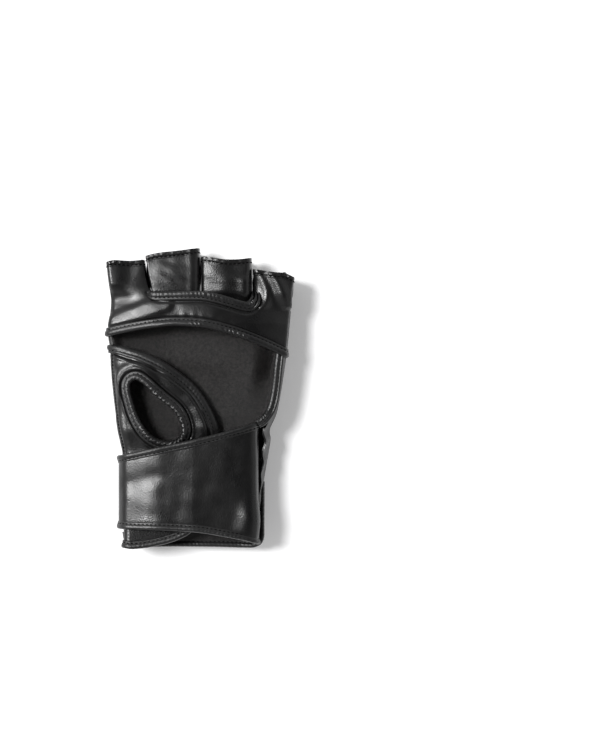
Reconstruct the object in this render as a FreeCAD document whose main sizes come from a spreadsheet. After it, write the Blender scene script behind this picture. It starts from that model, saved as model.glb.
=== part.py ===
"""Open-palm grappling glove for a left hand, lying palm up on its padded back. Millimetres.

+Z is up, out of the palm. +Y points along the fingers. -X is the thumb side. The origin is on the
surface that the glove rests on, under the middle of its outline.

Every leather piece of the palm side is a strip of an arch: a cross-section drawn across the hand,
padded along it, and trimmed by a plan outline. Every pad of the back is an open leather tray that
holds a foam block, and a lining closes it. The fingers bend at the edge of the palm band, and the
free end of the wrist strap swings out from under the cuff.
"""

import FreeCAD, Part
import math
import os

Vec = FreeCAD.Vector
FAR = 80.0            # beyond the outline of every piece, for plan outlines that trim one side only
REACH = 3 * FAR       # half side of the square that is cut away around a plan outline

# ---------------------------------------------------------------- driving dimensions (the sheet)

SIZES = {
    # sheet materials
    "leather": 1.4,
    "panel": 2.0,
    "lining_cloth": 1.0,
    "binding_rise": 0.8,
    "patch": 1.2,
    "patch_corner": 4.0,
    # back of the glove, bottom to top
    "pad_top": 15.0,
    "pad_round": 4.0,
    "finger_pad_top": 12.0,
    "finger_pad_round": 3.0,
    "cuff_bottom": 4.9,
    # palm band arch
    "band_middle": -1.0,
    "band_half": 65.0,
    "band_rise": 27.0,
    "band_corner": 20.0,
    # thumb panel arch, in a frame turned with the taper towards the wrist
    "taper": 6.75,
    "thumb_middle": 2.4,
    "thumb_half": 63.4,
    "thumb_rise": 17.0,
    "thumb_corner": 14.0,
    # thumb hole
    "hole_x": -34.0,
    "hole_y": -9.0,
    "hole_long": 34.0,
    "hole_short": 17.0,
    "hole_angle": -51.0,
    "binding_width": 6.0,
    # wall along the little finger's side
    "wall_height": 10.0,
    # wrist strap arch
    "strap_middle": -9.25,
    "strap_half": 50.75,
    "strap_spring": 20.0,
    "strap_rise": 17.0,
    "strap_corner": 14.0,
    "strap_ply": 1.3,
    "strap_leg": 4.0,
    # inner flap arch
    "flap_middle": -9.0,
    "flap_half": 47.2,
    "flap_spring": 19.0,
    "flap_rise": 14.0,
    "flap_corner": 12.0,
    # free end of the strap, under the cuff
    "tail_root": -57.0,
    "tail_end": 24.0,
    "tail_front": -46.0,
    "tail_rear": -94.0,
    "tail_ply": 1.1,
    "tail_rim": 3.0,
    "tail_shoulder": 14.0,
}

# each finger sleeve: left side, right side, knuckle line, tip, crown height of the leather
FINGERS = {
    "index": {"left": -68.0, "right": -40.3, "knuckle": 76.3, "tip": 99.0, "crown": 32.5},
    "middle": {"left": -39.7, "right": -0.6, "knuckle": 79.0, "tip": 107.6, "crown": 34.0},
    "ring": {"left": 0.2, "right": 36.2, "knuckle": 77.8, "tip": 101.0, "crown": 33.5},
    "pinky": {"left": 37.0, "right": 68.0, "knuckle": 69.3, "tip": 90.5, "crown": 31.5},
}
SLEEVE_CORNER = 9.0
SLEEVE_RISE = 11.0
HEM_LENGTH = 4.5
HEM_RISE = 0.4
SLEEVE_LINING_GAP = 0.6   # from a finger's lining to the inside of its sleeve, at each side
FINGER_PAD_SETBACK = 1.0  # from a finger's hem back to the end of its pad
FINGER_PAD_CORNER = 3.0   # plan corner radii of the padded back
HAND_PAD_CORNER = 8.0
CUFF_PAD_CORNER = 5.0
CUFF_EDGE_CORNER = 2.0

doc = FreeCAD.newDocument("glove")
sheet = doc.addObject("Spreadsheet::Sheet", "Sizes")


def fill_sheet():
    """Writes every driving dimension into the sheet, each in a cell with its own alias."""
    cells = dict(SIZES)
    for finger, facts in FINGERS.items():
        for fact, value in facts.items():
            cells[f"{finger}_{fact}"] = value
    cells["hem_length"] = HEM_LENGTH
    for row, (alias, value) in enumerate(cells.items(), start=1):
        sheet.set(f"A{row}", alias)
        sheet.set(f"B{row}", str(value))
        sheet.setAlias(f"B{row}", alias)
    doc.recompute()


def size(alias):
    """A driving dimension, read back from the sheet."""
    return float(sheet.get(alias))


# ---------------------------------------------------------------- sketch and feature helpers

def new_body(label):
    body = doc.addObject("PartDesign::Body", label)
    body.Label = label
    return body


def new_sketch(body, role, offset=None):
    """A sketch on one of the body's origin planes, moved along its normal by a sheet expression."""
    sketch = body.newObject("Sketcher::SketchObject", f"{body.Name}_sketch")
    plane = next(f for f in body.Origin.OriginFeatures if f.Role == role)
    sketch.AttachmentSupport = [(plane, "")]
    sketch.MapMode = "FlatFace"
    if offset is not None:
        sketch.setExpression(".AttachmentOffset.Base.z", offset)
    return sketch


def draw(sketch, start, *moves, turn=0.0):
    """A closed outline. A move (x, y) is a line to that point, ((xm, ym), (x, y)) an arc through
    (xm, ym). The last move returns to the start by a line. turn rotates every point, in degrees."""
    cosine, sine = math.cos(math.radians(turn)), math.sin(math.radians(turn))

    def point(p):
        return Vec(p[0] * cosine - p[1] * sine, p[0] * sine + p[1] * cosine, 0)

    at = point(start)
    for move in (*moves, start):
        if isinstance(move[0], tuple):
            middle, end = point(move[0]), point(move[1])
            sketch.addGeometry(Part.Arc(at, middle, end), False)
        else:
            end = point(move)
            if end.distanceToPoint(at) > 1e-6:
                sketch.addGeometry(Part.LineSegment(at, end), False)
        at = end


def draw_rounded(sketch, corners, radius):
    """A closed polygon with every corner rounded to the radius."""
    count = len(corners)
    cuts = []
    for i in range(count):
        before, corner, after = (Vec(*corners[(i + k) % count], 0) for k in (-1, 0, 1))
        to_before = (before - corner).normalize()
        to_after = (after - corner).normalize()
        half = to_before.getAngle(to_after) / 2
        reach = radius / math.tan(half)
        heart = corner + (to_before + to_after).normalize() * (radius / math.sin(half))
        middle = heart + (corner - heart).normalize() * radius
        cuts.append((corner + to_before * reach, middle, corner + to_after * reach))
    for i, (first, middle, last) in enumerate(cuts):
        sketch.addGeometry(Part.Arc(first, middle, last), False)
        sketch.addGeometry(Part.LineSegment(last, cuts[(i + 1) % count][0]), False)


def draw_ellipse(sketch, trim, turn=0.0):
    """The thumb hole's outline, made smaller all round by trim."""
    angle = math.radians(size("hole_angle") + turn)
    shift = math.radians(turn)
    x, y = size("hole_x"), size("hole_y")
    centre = Vec(x * math.cos(shift) - y * math.sin(shift), x * math.sin(shift) + y * math.cos(shift), 0)
    major, minor = size("hole_long") - trim, size("hole_short") - trim
    along = Vec(math.cos(angle), math.sin(angle), 0)
    across = Vec(-along.y, along.x, 0)
    sketch.addGeometry(Part.Ellipse(centre + along * major, centre + across * minor, centre), False)


def pad(body, sketch, length):
    feature = body.newObject("PartDesign::Pad", f"{body.Name}_pad")
    feature.Profile = sketch
    feature.setExpression("Length", length)
    doc.recompute()
    return feature


def pocket_up(body, sketch, depth):
    """Cuts upwards from a sketch in the XY plane, and checks that something was cut."""
    before = body.Shape.Volume
    feature = body.newObject("PartDesign::Pocket", f"{body.Name}_pocket")
    feature.Profile = sketch
    feature.Reversed = True
    feature.setExpression("Length", depth)
    doc.recompute()
    if not body.Shape.Volume < before - 1e-6:
        raise RuntimeError(f"{body.Label}: a pocket cut nothing")
    return feature


def round_bottom(body, radius):
    """Fillets the edges of the body's lowest face."""
    feature = body.Tip
    lowest = feature.Shape.BoundBox.ZMin
    names = [
        f"Edge{i}"
        for i, edge in enumerate(feature.Shape.Edges, start=1)
        if edge.BoundBox.ZMax < lowest + 1e-3
    ]
    fillet = body.newObject("PartDesign::Fillet", f"{body.Name}_fillet")
    fillet.Base = (feature, names)
    fillet.setExpression("Radius", radius)
    doc.recompute()
    return fillet


# ---------------------------------------------------------------- arches

def arch_points(middle, half, spring, rise, corner, left_foot, right_foot):
    """Points of a three-centred arch: corner arcs of the given radius and a flat crown arc."""
    crown = ((half - corner) ** 2 + rise ** 2 - corner ** 2) / (2 * (rise - corner))
    heart = Vec(half - corner, 0, 0)
    lean = heart - Vec(0, rise - crown, 0)
    join = heart + lean * (corner / lean.Length)
    middle_turn = (Vec(1, 0, 0) + lean.normalize()).normalize()
    shoulder = heart + middle_turn * corner
    right = [(half, right_foot - spring), (half, 0), (shoulder.x, shoulder.y), (join.x, join.y)]
    left = [(-half, left_foot - spring), (-half, 0), (-shoulder.x, shoulder.y), (-join.x, join.y)]

    def moved(p):
        return p[0] + middle, p[1] + spring

    return [moved(p) for p in right], moved((0, rise)), [moved(p) for p in left]


def arch_body(label, arch, outside, thickness, span):
    """An arch across the hand. arch holds its sizes, outside its growth beyond them, and span its
    front and rear ends, as sheet expressions or as numbers in text."""
    middle, half, spring, rise, corner, left_foot, right_foot = arch
    front, rear = span
    body = new_body(label)
    sketch = new_sketch(body, "XZ_Plane", f"-({front})")
    outer = arch_points(middle, half + outside, spring, rise + outside, corner + outside,
                        left_foot, right_foot)
    trim = outside - thickness
    inner = arch_points(middle, half + trim, spring, rise + trim, corner + trim,
                        left_foot, right_foot)
    (r_out, top_out, l_out), (r_in, top_in, l_in) = outer, inner
    draw(sketch, r_out[0], r_out[1], (r_out[2], r_out[3]), (top_out, l_out[3]), (l_out[2], l_out[1]),
         l_out[0], l_in[0], l_in[1], (l_in[2], l_in[3]), (top_in, r_in[3]), (r_in[2], r_in[1]), r_in[0])
    pad(body, sketch, f"({front}) - ({rear})")
    return body


def cut_outside(body, outline):
    """Keeps only what lies inside the plan outline that outline(sketch) draws."""
    sketch = new_sketch(body, "XY_Plane")
    draw(sketch, (-REACH, -REACH), (REACH, -REACH), (REACH, REACH), (-REACH, REACH))
    outline(sketch)
    pocket_up(body, sketch, f"{FAR}")


def trim_plan(body, start, *moves, turn=0.0):
    """Keeps only what lies inside the plan outline."""
    def outline(sketch):
        draw(sketch, start, *moves, turn=turn)

    cut_outside(body, outline)


def cut_thumb_hole(body, trim, turn):
    """Opens the thumb hole, made smaller all round by trim."""
    sketch = new_sketch(body, "XY_Plane")
    draw_ellipse(sketch, trim, turn=turn)
    pocket_up(body, sketch, f"{FAR}")


# ---------------------------------------------------------------- the padded back

KNUCKLE_PAD = ((-65.6, 26.0), (-66.0, 68.5), (-18.0, 74.0), (63.6, 61.0), (62.0, 25.0))
HAND_BACK = [(-64.8, 24.0), (-57.0, -39.0), (47.5, -39.0), (59.8, 24.0)]
CUFF_BACK = [(-56.2, -41.0), (-56.2, -102.0), (44.0, -102.0), (46.4, -41.0)]


def knuckle_outline(sketch, inset):
    """Plan of the knuckle pad: a bowed front edge that follows the finger roots."""
    rear_left, front_left, front_middle, front_right, rear_right = KNUCKLE_PAD
    draw(
        sketch,
        (rear_left[0] + inset, rear_left[1] + inset),
        (rear_right[0] - inset, rear_right[1] + inset),
        (front_right[0] - inset, front_right[1] - inset),
        ((front_middle[0], front_middle[1] - inset), (front_left[0] + inset, front_left[1] - inset)),
    )


def inset_quad(corners, inset):
    """A four-cornered outline moved inwards: its corners are front left, rear left, rear right,
    front right."""
    signs = ((1, -1), (1, 1), (-1, 1), (-1, -1))
    return [(x + sx * inset, y + sy * inset) for (x, y), (sx, sy) in zip(corners, signs)]


def tray_and_foam(name, outline, bottom, top, rounding):
    """A leather tray, open towards the hand, and the foam block that fills it."""
    cover = new_body(f"{name}_cover")
    sketch = new_sketch(cover, "XY_Plane", bottom)
    outline(sketch, 0.0)
    pad(cover, sketch, f"{top} - {bottom}")
    round_bottom(cover, rounding)
    hollow = new_sketch(cover, "XY_Plane", f"{bottom} + Sizes.leather")
    outline(hollow, size("leather"))
    pocket_up(cover, hollow, f"{top}")
    foam = new_body(f"{name}_foam")
    block = new_sketch(foam, "XY_Plane", f"{bottom} + Sizes.leather")
    outline(block, size("leather"))
    pad(foam, block, f"{top} - {bottom} - Sizes.leather")
    return cover, foam


def quad_outline(corners, radius):
    def outline(sketch, inset):
        draw_rounded(sketch, inset_quad(corners, inset), max(radius - inset, 1.0))

    return outline


def make_back():
    tray_and_foam("knuckle_pad", knuckle_outline, "0", "Sizes.pad_top", "Sizes.pad_round")
    tray_and_foam("hand_back", quad_outline(HAND_BACK, HAND_PAD_CORNER), "0", "Sizes.pad_top",
                  "Sizes.pad_round")
    tray_and_foam("cuff_back", quad_outline(CUFF_BACK, CUFF_PAD_CORNER), "Sizes.cuff_bottom",
                  "Sizes.pad_top", "Sizes.finger_pad_round")

    lining = new_body("back_lining")
    sketch = new_sketch(lining, "XY_Plane", "Sizes.pad_top")
    draw(sketch, (-53.6, -101.5), (-54.2, -41.0), (-62.0, 26.0), (-62.8, 66.0),
         ((-18.0, 73.0), (60.6, 60.0)), (58.4, 25.0), (45.0, -25.0), (41.6, -60.0), (41.6, -101.5))
    pad(lining, sketch, "Sizes.lining_cloth")

    edge = new_body("cuff_back_binding")
    sketch = new_sketch(edge, "XY_Plane", "Sizes.cuff_bottom")
    draw_rounded(sketch, [(-55.8, -102.2), (-55.8, -107.6), (43.6, -107.6), (43.6, -102.2)],
                 CUFF_EDGE_CORNER)
    pad(edge, sketch, "Sizes.pad_top + Sizes.lining_cloth - Sizes.cuff_bottom")

    loops = new_body("loop_patch")
    sketch = new_sketch(loops, "XY_Plane", "Sizes.cuff_bottom - Sizes.patch")
    draw_rounded(sketch, [(-40.0, -49.0), (-40.0, -94.0), (36.0, -94.0), (36.0, -49.0)],
                 size("patch_corner"))
    pad(loops, sketch, "Sizes.patch")


# ---------------------------------------------------------------- the palm side of the hand

def band_arch():
    foot = size("pad_top")
    return (size("band_middle"), size("band_half"), foot, size("band_rise"), size("band_corner"),
            foot, foot)


# plan curves shared by neighbouring pieces, from the thumb side to the little finger
BAND_SEAM = [(-FAR, 45.6), ((-47.5, 54.9), (-15.0, 57.9)), ((32.5, 49.1), (FAR, 17.5))]
BAND_EDGE = [(-FAR, 39.9), ((-47.5, 49.2), (-15.0, 52.2)), ((32.5, 42.8), (FAR, 7.9))]
CROTCH_SEAM = [(33.0, 61.9), ((17.0, 66.6), (0.0, 69.8)), (-26.0, 70.2), ((-34.0, 72.4), (-38.0, 76.0))]
BAND_SPAN = ("80", "18")

# the leather under the crotch binding, from which the middle and ring sleeves come out
ROOT_MIDDLE, ROOT_HALF, ROOT_SPRING, ROOT_RISE, ROOT_CORNER = -1.4, 36.8, 16.0, 18.0, 12.0
ROOT_SPAN = ("77.3", "60")


def backwards(curve):
    """The same chain of lines and arcs, from its end to its start."""
    ends = [move[1] if isinstance(move[0], tuple) else move for move in curve]
    chain = [ends[-1]]
    for i in range(len(curve) - 1, 0, -1):
        move = curve[i]
        chain.append((move[0], ends[i - 1]) if isinstance(move[0], tuple) else ends[i - 1])
    return chain


def make_palm_band():
    band = arch_body("palm_band", band_arch(), 0.0, size("panel"), BAND_SPAN)
    trim_plan(band, BAND_SEAM[0], *BAND_SEAM[1:], (FAR, 69.0), (41.5, 69.0),
              ((39.5, 64.0), (33.0, 61.9)), *CROTCH_SEAM[1:], (-FAR, 76.0))

    rise = size("binding_rise")
    edge = arch_body("palm_band_binding", band_arch(), rise, size("panel") + 2 * rise, BAND_SPAN)
    trim_plan(edge, BAND_EDGE[0], *BAND_EDGE[1:], *backwards(BAND_SEAM))

    crotch = arch_body("finger_crotch_binding", band_arch(), rise, size("panel") + 2 * rise, BAND_SPAN)
    trim_plan(crotch, CROTCH_SEAM[0], *CROTCH_SEAM[1:], (-36.5, 78.2), (-28.0, 77.0), (0.0, 77.2),
              ((18.0, 74.3), (36.2, 69.4)))

    roots = (ROOT_MIDDLE, ROOT_HALF, ROOT_SPRING, ROOT_RISE, ROOT_CORNER, ROOT_SPRING, ROOT_SPRING)
    arch_body("middle_ring_root", roots, 0.0, size("leather"), ROOT_SPAN)


def thumb_arch():
    foot = size("pad_top")
    return (size("thumb_middle"), size("thumb_half"), foot, size("thumb_rise"), size("thumb_corner"),
            foot, foot)


THUMB_SEAM = [(-72.0, 35.4), ((-46.0, 27.2), (-22.3, 15.5)), ((-4.7, -1.5), (7.4, -28.0)), (9.0, -46.0)]
THUMB_EDGE = [(-72.0, 39.6), ((-45.0, 34.8), (-22.3, 23.4)), ((1.5, 1.0), (13.7, -24.0)), (15.4, -46.0)]
THUMB_REAR = (-72.0, -46.0)
THUMB_SPAN = ("60", "-70")


def turn_with_wrist(body):
    """The thumb panel's pieces are modelled along their own side edge and turned into place."""
    body.setExpression(".Placement.Rotation.Angle", "Sizes.taper")
    body.Placement = FreeCAD.Placement(Vec(0, 0, 0), FreeCAD.Rotation(Vec(0, 0, 1), size("taper")))


def make_thumb_panel():
    back = -size("taper")
    rise = size("binding_rise")
    leather = arch_body("thumb_panel", thumb_arch(), 0.0, size("panel"), THUMB_SPAN)
    trim_plan(leather, THUMB_SEAM[0], *THUMB_SEAM[1:], THUMB_REAR, turn=back)
    cut_thumb_hole(leather, 0.0, back)
    turn_with_wrist(leather)

    edge = arch_body("thumb_panel_binding", thumb_arch(), rise, size("panel") + 2 * rise, THUMB_SPAN)
    trim_plan(edge, THUMB_EDGE[0], *THUMB_EDGE[1:], *backwards(THUMB_SEAM), turn=back)
    turn_with_wrist(edge)

    def hole_outline(sketch):
        draw_ellipse(sketch, 0.0, turn=back)

    ring = arch_body("thumb_hole_binding", thumb_arch(), rise, size("panel") + 2 * rise, THUMB_SPAN)
    cut_outside(ring, hole_outline)
    cut_thumb_hole(ring, size("binding_width"), back)
    turn_with_wrist(ring)


PINKY_WALL = [(61.2, 22.8), (59.4, 15.0), (58.2, 8.0), (56.8, -2.0), (54.4, -10.0), (50.4, -20.5),
              (49.4, -34.0), (46.2, -50.0), (44.6, -66.0), (44.4, -101.0)]
WALL_BINDING_LAST = 5     # the wall's binding ends at this point, where the strap begins
WALL_BINDING_LIP = 0.5    # and stands this far out from the wall


def wall_strip(sketch, points, inner, outer, last):
    """A plan strip along the little finger's side, from inner to outer of the drawn line."""
    kept = points[: last + 1]
    left = [(x - inner, y) for x, y in kept]
    right = [(x + outer, y) for x, y in reversed(kept)]
    draw(sketch, left[0], *left[1:], *right)


def make_pinky_side():
    panel = new_body("pinky_side_panel")
    sketch = new_sketch(panel, "XY_Plane", "Sizes.pad_top")
    wall_strip(sketch, PINKY_WALL, size("panel"), 0.0, len(PINKY_WALL) - 1)
    pad(panel, sketch, "Sizes.wall_height")

    edge = new_body("pinky_side_binding")
    sketch = new_sketch(edge, "XY_Plane", "Sizes.pad_top + Sizes.wall_height")
    wall_strip(sketch, PINKY_WALL, size("binding_width") - WALL_BINDING_LIP, WALL_BINDING_LIP,
               WALL_BINDING_LAST)
    pad(edge, sketch, "Sizes.panel + 2 * Sizes.binding_rise")


# ---------------------------------------------------------------- the wrist

def strap_arch():
    return (size("strap_middle"), size("strap_half"), size("strap_spring"), size("strap_rise"),
            size("strap_corner"), size("strap_leg"), size("pad_top") + size("lining_cloth"))


STRAP_TOP_EDGE = [(-FAR, -44.0), ((-8.0, -29.3), (42.5, -15.4))]
STRAP_TOP_SEAM = [(-FAR, -50.2), ((-8.0, -36.0), (42.5, -24.0))]
STRAP_LOW_SEAM = [(-FAR, -88.0), ((5.0, -90.4), (42.5, -98.6))]
STRAP_LOW_EDGE = [(-FAR, -94.0), ((2.0, -96.6), (42.5, -104.8))]
WRIST_SPAN = ("0", "-120")


def make_strap():
    ply, rise = size("strap_ply"), size("binding_rise")
    leather = arch_body("strap_leather", strap_arch(), 0.0, ply, WRIST_SPAN)
    trim_plan(leather, STRAP_LOW_SEAM[0], *STRAP_LOW_SEAM[1:], *backwards(STRAP_TOP_SEAM))
    backing = arch_body("strap_backing", strap_arch(), -ply, ply, WRIST_SPAN)
    trim_plan(backing, STRAP_LOW_SEAM[0], *STRAP_LOW_SEAM[1:], *backwards(STRAP_TOP_SEAM))
    top = arch_body("strap_top_binding", strap_arch(), rise, 2 * ply + rise, WRIST_SPAN)
    trim_plan(top, STRAP_TOP_SEAM[0], *STRAP_TOP_SEAM[1:], *backwards(STRAP_TOP_EDGE))
    low = arch_body("strap_lower_binding", strap_arch(), rise, 2 * ply + rise, WRIST_SPAN)
    trim_plan(low, STRAP_LOW_EDGE[0], *STRAP_LOW_EDGE[1:], *backwards(STRAP_LOW_SEAM))


FLAP_EDGE = [(-FAR, -107.6), (-44.0, -107.6), ((-22.0, -103.6), (-4.0, -90.0)), (-4.0, -46.4)]
FLAP_SEAM = [(-FAR, -101.8), (-44.0, -101.8), ((-25.0, -98.2), (-9.6, -86.0)), (-9.6, -46.4)]


def flap_arch(foot):
    return (size("flap_middle"), size("flap_half"), size("flap_spring"), size("flap_rise"),
            size("flap_corner"), foot, foot)


def make_inner_flap():
    """The flap stands on the cuff's pad, and its binding on the cuff's bound edge."""
    foot = size("pad_top")
    leather = arch_body("inner_flap", flap_arch(foot), 0.0, size("panel"), WRIST_SPAN)
    trim_plan(leather, FLAP_SEAM[0], *FLAP_SEAM[1:], (-FAR, FLAP_SEAM[-1][1]))
    foot = size("pad_top") + size("lining_cloth")
    edge = arch_body("inner_flap_binding", flap_arch(foot), 0.0,
                     size("panel") + size("binding_rise"), WRIST_SPAN)
    trim_plan(edge, FLAP_EDGE[0], *FLAP_EDGE[1:], *backwards(FLAP_SEAM))


TAIL_BULGE = (3.5, 3.0)   # how far the arcs of the rounded tip stand out, along and across the strap


def tail_outline(sketch, inset):
    """Plan of the strap's free end, square at the fold and rounded at its tip."""
    root, tip = size("tail_root"), size("tail_end") - inset
    front, rear = size("tail_front") - inset, size("tail_rear") + inset
    middle = (front + rear) / 2
    shoulder = tip - size("tail_shoulder")
    along, across = tip - TAIL_BULGE[0], TAIL_BULGE[1]
    draw(sketch, (root, rear), (shoulder, rear), ((along, (rear + middle) / 2 - across), (tip, middle)),
         ((along, (front + middle) / 2 + across), (shoulder, front)), (root, front))


def make_tail():
    width = size("binding_width") - 1.0
    leather = new_body("tail_leather")
    sketch = new_sketch(leather, "XY_Plane")
    tail_outline(sketch, width)
    pad(leather, sketch, "Sizes.tail_ply")

    backing = new_body("tail_backing")
    sketch = new_sketch(backing, "XY_Plane", "Sizes.tail_ply")
    tail_outline(sketch, width)
    pad(backing, sketch, "Sizes.tail_ply")

    edge = new_body("tail_binding")
    sketch = new_sketch(edge, "XY_Plane")
    tail_outline(sketch, 0.0)
    pad(edge, sketch, "Sizes.tail_rim")
    inside = new_sketch(edge, "XY_Plane")
    tail_outline(inside, width)
    pocket_up(edge, inside, "Sizes.tail_rim")

    hooks = new_body("hook_patch")
    sketch = new_sketch(hooks, "XY_Plane", "2 * Sizes.tail_ply")
    draw_rounded(sketch, [(-32.0, -52.5), (-32.0, -87.5), (8.0, -87.5), (8.0, -52.5)],
                 size("patch_corner"))
    pad(hooks, sketch, "Sizes.patch")


# ---------------------------------------------------------------- the fingers

def make_finger(name):
    """One half-finger sleeve: a padded back, a lining, an arched leather front and its hem."""
    left, right = size(f"{name}_left"), size(f"{name}_right")
    knuckle, tip = size(f"{name}_knuckle"), size(f"{name}_tip")
    middle, half = (left + right) / 2, (right - left) / 2
    pad_top = size("finger_pad_top")
    pad_tip = tip - FINGER_PAD_SETBACK
    corners = [(left, pad_tip), (left, knuckle), (right, knuckle), (right, pad_tip)]
    tray_and_foam(f"{name}_pad", quad_outline(corners, FINGER_PAD_CORNER), "0", "Sizes.finger_pad_top",
                  "Sizes.finger_pad_round")

    lining = new_body(f"{name}_lining")
    sketch = new_sketch(lining, "XY_Plane", "Sizes.finger_pad_top")
    edge = half - size("leather") - SLEEVE_LINING_GAP
    draw(sketch, (middle - edge, knuckle), (middle + edge, knuckle),
         (middle + edge, tip - HEM_LENGTH), (middle - edge, tip - HEM_LENGTH))
    pad(lining, sketch, "Sizes.lining_cloth")

    spring = size(f"{name}_crown") - SLEEVE_RISE
    arch = (middle, half - HEM_RISE, spring, SLEEVE_RISE - HEM_RISE, SLEEVE_CORNER, pad_top, pad_top)
    tip_line, hem_line = f"Sizes.{name}_tip", f"Sizes.{name}_tip - Sizes.hem_length"
    arch_body(f"{name}_sleeve", arch, 0.0, size("leather"), (hem_line, f"Sizes.{name}_knuckle"))
    arch_body(f"{name}_hem", arch, HEM_RISE, size("leather") + 2 * HEM_RISE, (tip_line, hem_line))


# ---------------------------------------------------------------- build, check and export

def check_and_export():
    """Stops on any failed or empty piece, then writes each piece to parts/LABEL.step."""
    doc.recompute()
    for thing in doc.Objects:
        if "Invalid" in thing.State or "Error" in thing.State:
            raise RuntimeError(f"{thing.Label} did not build: {thing.State}")
    os.makedirs("parts", exist_ok=True)
    for old in os.listdir("parts"):
        os.remove(os.path.join("parts", old))
    box = FreeCAD.BoundBox()
    for body in (o for o in doc.Objects if o.TypeId == "PartDesign::Body"):
        shape = body.Shape
        if shape.isNull() or not shape.isValid() or shape.Volume <= 0:
            raise RuntimeError(f"{body.Label} is empty or not valid")
        box.add(shape.BoundBox)
        shape.exportStep(os.path.join("parts", f"{body.Label}.step"))
        print(f"{body.Label:24s} solids {len(shape.Solids)}  volume {shape.Volume / 1000:8.2f} cm3")
    print("whole object", box)


fill_sheet()
make_back()
make_palm_band()
make_thumb_panel()
make_pinky_side()
make_strap()
make_inner_flap()
make_tail()
for finger_name in FINGERS:
    make_finger(finger_name)
check_and_export()
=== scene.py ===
"""Looks of an open-palm grappling glove for the left hand, lying palm up on its padded back.

Shapes are worked out in millimetres, in the frame of the CAD model, and turned into metres as each
mesh is made. +Z is up out of the palm, +Y points along the fingers, -X is the thumb side.

A leather piece of the palm side is part of a skin: a surface with a crown that falls to a low edge
at each side. A binding is a folded strip swept along a line on a skin, with its stitches.
"""

import math

import bpy
import numpy as np
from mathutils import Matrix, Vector


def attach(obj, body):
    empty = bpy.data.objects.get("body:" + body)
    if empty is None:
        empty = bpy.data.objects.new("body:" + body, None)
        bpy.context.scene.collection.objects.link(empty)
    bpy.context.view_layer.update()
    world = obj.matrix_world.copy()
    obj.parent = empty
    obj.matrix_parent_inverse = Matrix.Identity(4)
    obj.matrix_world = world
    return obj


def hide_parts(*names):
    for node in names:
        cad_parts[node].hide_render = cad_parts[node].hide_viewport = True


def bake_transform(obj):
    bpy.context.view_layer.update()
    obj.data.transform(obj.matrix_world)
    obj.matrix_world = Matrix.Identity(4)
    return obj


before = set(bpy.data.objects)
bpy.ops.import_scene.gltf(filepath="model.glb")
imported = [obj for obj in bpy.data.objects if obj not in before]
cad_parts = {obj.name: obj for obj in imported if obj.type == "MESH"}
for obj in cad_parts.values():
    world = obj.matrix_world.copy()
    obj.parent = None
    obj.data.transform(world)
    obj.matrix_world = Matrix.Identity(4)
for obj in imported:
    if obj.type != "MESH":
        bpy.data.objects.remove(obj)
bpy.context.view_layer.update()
MM = 0.001


# ---- curves and small functions

def smooth(share):
    share = np.clip(share, 0.0, 1.0)
    return share * share * (3 - 2 * share)


def mix(a, b, share):
    return a + (b - a) * share


def bump(distance, width):
    return np.exp(-((distance / width) ** 2))


def catmull(points, closed=False, steps=24):
    """A smooth curve through the points, finely sampled."""
    p = np.array(points, float)
    if closed:
        p = np.vstack([p[-1], p, p[0], p[1]])
    else:
        p = np.vstack([2 * p[0] - p[1], p, 2 * p[-1] - p[-2]])
    t = np.linspace(0, 1, steps, endpoint=False)[:, None]
    runs = [
        0.5 * (2 * b + (c - a) * t + (2 * a - 5 * b + 4 * c - d) * t**2 + (3 * b - a - 3 * c + d) * t**3)
        for a, b, c, d in zip(p, p[1:], p[2:], p[3:])
    ]
    return np.vstack(runs + ([] if closed else [p[-2]]))


def unit(vectors):
    return vectors / np.maximum(np.linalg.norm(vectors, axis=-1, keepdims=True), 1e-9)


def steps_along(points, closed=False, reach=1):
    """From each point of a line, or row of a grid, towards the next."""
    if closed:
        return np.roll(points, -reach, axis=0) - np.roll(points, reach, axis=0)
    return np.gradient(points, axis=0)


def lengths(path):
    """How far along a path each of its points lies."""
    return np.concatenate([[0], np.cumsum(np.linalg.norm(np.diff(path, axis=0), axis=1))])


def spaced(curve, count, closed=False):
    """count points evenly spaced along a sampled curve. Columns past the third are carried along."""
    if closed:
        curve = np.vstack([curve, curve[0]])
    s = lengths(curve[:, :3])
    want = np.linspace(0, s[-1], count, endpoint=not closed)
    return np.column_stack([np.interp(want, s, column) for column in curve.T])


def through(points, count, closed=False):
    """count points evenly spaced along the smooth curve through a few points."""
    return spaced(catmull(points, closed), count, closed)


def graph(*points):
    """The smooth function whose graph passes through the points."""
    c = catmull(points)
    order = np.argsort(c[:, 0])
    return lambda v: np.interp(v, c[order, 0], c[order, 1])


def steady(value):
    """The function of y that has one value everywhere."""
    return lambda y: value + 0 * y


def points_of(x, y, z):
    return np.stack(np.broadcast_arrays(x, y, z), axis=-1)


def near(x, y, points):
    """Distance in plan from each (x, y) to a smooth curve through the points."""
    c = catmull(points, steps=12)
    p = np.column_stack([np.ravel(x), np.ravel(y)])
    best = np.full(len(p), 1e9)
    for start, run in zip(c, np.diff(c, axis=0)):
        t = np.clip(((p - start) @ run) / max(run @ run, 1e-9), 0, 1)
        best = np.minimum(best, np.linalg.norm(p - start - t[:, None] * run, axis=1))
    return best.reshape(np.shape(x))


def wander(x, y, size, seed):
    """A soft, repeatable unevenness between about -1 and 1, whose swells are about size wide."""
    turn = np.random.default_rng(seed)
    total = 0.0
    for _ in range(5):
        angle, phase = turn.uniform(0, math.tau, 2)
        wave = math.tau / size * turn.uniform(0.35, 0.9)
        total = total + np.sin(wave * (x * math.cos(angle) + y * math.sin(angle)) + phase)
    return total / 3.0


# ---- meshes

def add_object(name, data):
    thing = bpy.data.objects.new(name, data)
    bpy.context.scene.collection.objects.link(thing)
    return thing


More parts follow.
